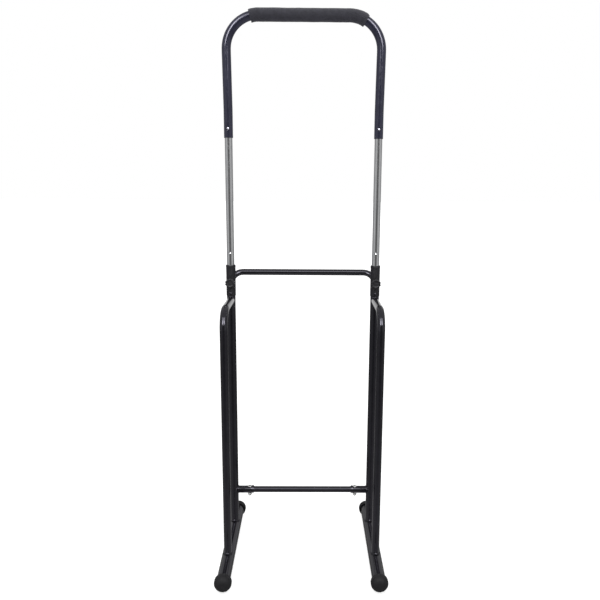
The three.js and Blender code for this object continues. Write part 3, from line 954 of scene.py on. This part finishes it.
def foam_grip():
    """A foam sleeve round the handle's top: soft lumps, creases inside the bends, and ends cut square."""
    path, tube_radius = handle_path()
    radius = width("foam_grip", 1) / 2
    half = path.length / 2
    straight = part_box("u_handle")[1].x - tube_radius - HANDLE_BEND
    low = half - straight - HANDLE_BEND * GRIP_LEFT_SWEEP
    high = half + straight + HANDLE_BEND * GRIP_RIGHT_SWEEP
    marks = path.marks(low, high, 1.3 * MM)
    bore = tube_radius + 0.12 * MM
    skin = radius - 0.45 * MM
    profile = [(s, skin) for s in marks] + [(s, bore) for s in reversed(marks)]
    profile = rounded_profile(profile, 1.3 * MM, looped=True)

    def soft(s, angle, r):
        if r < tube_radius + 0.5 * MM:
            return r
        point, direction = path.at(s)
        side = direction.cross(Y)
        spot = point + (Y * cos(angle) + side * sin(angle)) * r
        share = (r - bore) / (skin - bore)
        lump = 0.38 * MM * noise.noise(spot * 42) + 0.16 * MM * noise.noise(spot * 130)
        end = min(s - low, high - s)
        swell = 0.35 * MM * exp(-((end - 2.5 * MM) / (3.2 * MM)) ** 2)
        into_bend = clamped((abs(s - half) - straight + 10 * MM) / (14 * MM))
        inner = max(0.0, -side.z * sin(angle))
        crease = -0.32 * MM * into_bend * inner * (0.5 + 0.5 * cos(tau * s / (6.2 * MM)))
        outer = max(0.0, side.z * sin(angle))
        left_worn = 1.0 * MM * max(0.0, 1 - (s - low) / (20 * MM)) ** 2
        right_worn = 3.6 * MM * max(0.0, 1 - (high - s) / (8 * MM)) ** 2
        return r + share * (lump + swell + crease - outer * (left_worn + right_worn))

    grip = loft("foam_sleeve", path, profile, Y, 112, looped=True, shape=soft, sharp=60)
    place(grip, "sliding_handle", "foam", "foam_grip")


def tube_plug(side):
    """A guide plug in the chrome tube's lower end."""
    node = f"{side}_tube_plug"
    low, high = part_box(node)
    centre = middle(node)
    radius = width(node, 0) / 2
    inside = radius - 1.5 * MM
    height = high.z - low.z
    ledge = 2.7 * MM
    profile = [
        (2.0 * MM, 0),
        (2.0 * MM, 4.5 * MM),
        (0, 5.0 * MM),
        (0, radius - 1.0 * MM),
        (1.0 * MM, radius - 0.05 * MM),
        (ledge, radius - 0.05 * MM),
        (ledge, inside),
        (height - 1.2 * MM, inside),
        (height, inside - 1.2 * MM),
        (height, 0),
    ]
    origin = Vector((centre.x, centre.y, low.z))
    plug = turned(f"{side}_guide_plug", profile, origin, Z, X, 64, edge=0.3 * MM)
    place(plug, "sliding_handle", "black_plastic", node)


# Crossbars


def lower_crossbar():
    node = "lower_crossbar"
    low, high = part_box(node)
    centre = middle(node)
    radius = width(node, 2) / 2
    path = Path([Vector((low.x, centre.y, centre.z)), Vector((high.x, centre.y, centre.z))])
    place(pipe("lower_bar_tube", path, radius, THIN_WALL, Y), "base_frame", "black_paint", node)


def upper_crossbar(collar_radius):
    """The bar behind the posts. Its ends fall forward at 45 degrees and are shaped to the collars' backs."""
    node = "upper_crossbar"
    _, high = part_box(node)
    radius = width("lower_crossbar", 2) / 2
    back = high.y - radius
    z = high.z - radius
    posts = {name: middle(f"{name}_post") for name in SIDE_NAMES}
    front = posts["left"].y + 5 * MM
    foot = z - (back - front)
    corners = [
        Vector((posts["left"].x, front, foot)),
        Vector((posts["left"].x, back, z)),
        Vector((posts["right"].x, back, z)),
        Vector((posts["right"].x, front, foot)),
    ]
    path = Path(corners, [UPPER_BAR_BEND, UPPER_BAR_BEND])
    bar = pipe("upper_bar_tube", path, radius, THIN_WALL, (Z - Y).normalized(), step=4 * MM)
    sleeve = collar_radius - 0.35 * MM
    cope = [(0, sleeve - 0.3 * MM), (80 * MM, sleeve - 0.3 * MM)]
    starts = [Vector((spot.x, spot.y, foot - 40 * MM)) for spot in posts.values()]
    cut(bar, [turned("cope", cope, start, Z, X, edge=0) for start in starts])
    place(bar, "base_frame", "black_paint", node)
    slope = (Y + Z).normalized()
    for name, spot in posts.items():
        root = Vector((spot.x, spot.y, z - (back - spot.y)))
        bead = weld(f"{name}_upper_bar_weld", root, slope, Z, radius, sleeve, 1.1 * MM)
        place(bead, "base_frame", "black_paint")


for name in SIDE_NAMES:
    base_centre, base_radius = base_tube(name)
    for end in ("front", "rear"):
        end_cap(name, end)
    post_axis, post_radius = post(name, base_centre, base_radius)
    brace(name, base_centre, base_radius, post_axis, post_radius)
    crossbar_stub(name, post_axis, post_radius)
    collar(name, post_axis)
    collar_screw(name, post_axis)
    washer(name)
    knob(name)
    crossbar_bolt(name)
    crossbar_nut(name)
    snap_button(name, chrome_tube(name))
    tube_plug(name)
lower_crossbar()
upper_crossbar(width("left_collar", 0) / 2)
u_handle()
foam_grip()


# Studio

EYE = (0.0100, -1.5181, 0.9436)
HEADING = radians(-0.602)
TILT = radians(79.486)
ROLL = radians(0.394)
RAIL_MIDDLE = Vector((0, 0, 0.6))
FLOOR_HALF = 30
WHITE = (1, 1, 1, 1)
QUAD = ((-1, -1), (1, -1), (1, 1), (-1, 1))  # the corners of a sheet, across and up

# How bright the room is, as (place, grey) with both ends first. WALLS, LOW_WALLS and SHADE_ROUND go round it
# from the front to the back. The others go from straight down to straight up.
WALLS = [
    (0.0, 0.13), (1.0, 1.0), (0.1, 0.15), (0.2, 0.50), (0.33, 0.66),
    (0.45, 0.55), (0.6, 0.38), (0.72, 0.32), (0.84, 0.45), (0.93, 1.0),
]
LOW_WALLS = [
    (0.0, 0.07), (1.0, 0.4), (0.1, 0.08), (0.2, 0.2), (0.33, 0.27),
    (0.45, 0.24), (0.6, 0.18), (0.76, 0.1), (0.9, 0.1),
]
SHADE_ROUND = [(0.0, 0.0), (1.0, 1.0), (0.865, 0.0), (0.915, 1.0)]
SHADE_UP = [
    (0.0, 0.0), (1.0, 0.0), (0.565, 0.0), (0.585, 0.5),
    (0.66, 0.5), (0.70, 1.0), (0.85, 1.0), (0.95, 0.0),
]
HORIZON = [(0.0, 0.0), (1.0, 1.0), (0.38, 0.0), (0.44, 1.0)]
POLES = [(0.0, 0.55), (1.0, 0.60), (0.2, 0.45), (0.45, 0.30), (0.55, 0.60)]
POLE_SHARE = [(0.0, 1.0), (1.0, 1.0), (0.2, 0.9), (0.4, 0.0), (0.65, 0.0), (0.85, 0.8)]


def sheet(name, corners, material):
    """A flat piece of the studio, from its four corners."""
    mesh = bpy.data.meshes.new(name)
    mesh.from_pydata(corners, [], [(0, 1, 2, 3)])
    mesh.materials.append(material)
    flat = bpy.data.objects.new(name, mesh)
    bpy.context.scene.collection.objects.link(flat)
    return flat


def floor():
    """A large floor that the camera sees nearly white. Glossy surfaces reflect the soft room instead."""
    s = Shader("pale_floor")
    seen = s.add("LightPath").outputs["Is Camera Ray"]
    s.set(
        Base_Color=s.mix(s.noise(3, 2), (0.50, 0.50, 0.50), (0.54, 0.54, 0.54)),
        Roughness=s.spread(s.noise(9, 2), 0.3, 0.7, 0.85, 0.95),
        Specular_IOR_Level=0.0,
        Emission_Color=WHITE,
        Emission_Strength=s.math("MULTIPLY", seen, 0.75),
    )
    corners = [(FLOOR_HALF * i, FLOOR_HALF * j, 0) for i, j in QUAD]
    plane = sheet("studio_floor", corners, s.material)
    plane.visible_glossy = False


def top_light():
    """Light from all over the ceiling, for the floor and the matte surfaces. Glossy ones reflect the room."""
    data = bpy.data.lights.new("top_light", "SUN")
    data.energy = 2.0
    data.angle = radians(120)
    lamp = bpy.data.objects.new("top_light", data)
    bpy.context.scene.collection.objects.link(lamp)
    lamp.visible_glossy = False


def card(name, azimuth, distance, height, size, strength):
    """A lit panel that only glossy surfaces reflect. It faces the rail's middle. Azimuth 0 is the front."""
    spot = Vector((sin(azimuth) * distance, -cos(azimuth) * distance, height))
    aim = RAIL_MIDDLE - spot
    across = aim.cross(Z).normalized()
    up = across.cross(aim).normalized()
    half_width, half_height = size[0] / 2, size[1] / 2
    material = bpy.data.materials.new(name)
    material.use_nodes = True
    material.node_tree.nodes.clear()
    n = Nodes(material.node_tree)
    n.add("OutputMaterial", Surface=n.add("Emission", Strength=strength).outputs[0])
    corners = [spot + across * half_width * i + up * half_height * j for i, j in QUAD]
    panel = sheet(name, corners, material)
    panel.visible_camera = False
    panel.visible_diffuse = False
    panel.visible_transmission = False
    panel.visible_shadow = False


def room():
    """A soft room, white to the camera. Reflections find it dark in front, paler at the sides and back."""
    world = bpy.data.worlds.new("soft_room")
    bpy.context.scene.world = world
    world.use_nodes = True
    world.node_tree.nodes.clear()
    n = Nodes(world.node_tree)
    split = n.add("SeparateXYZ", Vector=n.add("TexCoord").outputs["Generated"])
    turn = n.math("ARCTAN2", split.outputs["X"], n.math("MULTIPLY", split.outputs["Y"], -1.0))
    turn = n.math("DIVIDE", n.math("ABSOLUTE", turn), pi)
    height = n.math("MULTIPLY_ADD", split.outputs["Z"], 0.5, 0.5)
    glow = n.mix(n.ramp(height, HORIZON), n.ramp(turn, LOW_WALLS), n.ramp(turn, WALLS))
    glow = n.mix(n.ramp(height, POLE_SHARE), glow, n.ramp(height, POLES))
    shade = n.math("MULTIPLY", n.ramp(turn, SHADE_ROUND), n.ramp(height, SHADE_UP))
    reflected = n.add("Background", Color=n.mix(shade, glow, (0, 0, 0)))
    seen = n.add("Background", Color=WHITE)
    choose = n.add("MixShader", Fac=n.add("LightPath").outputs["Is Camera Ray"])
    n.fill(choose.inputs[1], reflected.outputs[0])
    n.fill(choose.inputs[2], seen.outputs[0])
    n.add("OutputWorld", Surface=choose.outputs[0])


def camera():
    """The camera: its heading, tilt and roll turn it about Z, X and its own line of sight."""
    data = bpy.data.cameras.new("camera")
    data.lens = 38.16
    data.sensor_width = 36
    data.shift_x = -0.0225
    eye = bpy.data.objects.new("camera", data)
    bpy.context.scene.collection.objects.link(eye)
    turn = Matrix.Rotation(HEADING, 3, "Z") @ Matrix.Rotation(TILT, 3, "X") @ Matrix.Rotation(ROLL, 3, "Z")
    eye.matrix_world = Matrix.Translation(EYE) @ turn.to_4x4()
    bpy.context.scene.camera = eye


floor()
top_light()
for side_name, outward in SIDE_NAMES.items():
    card(f"front_{side_name}_panel", radians(24) * outward, 6.0, 4.0, (2.4, 2.6), 14)
for side_name, outward in SIDE_NAMES.items():
    card(f"side_{side_name}_panel", radians(36) * outward, 6.0, 7.0, (2.6, 1.8), 5)
card("ceiling_panel", 0, 2.57, 3.0, (2.0, 1.6), 3.7)
room()
camera()
bpy.context.scene.view_settings.view_transform = "Standard"
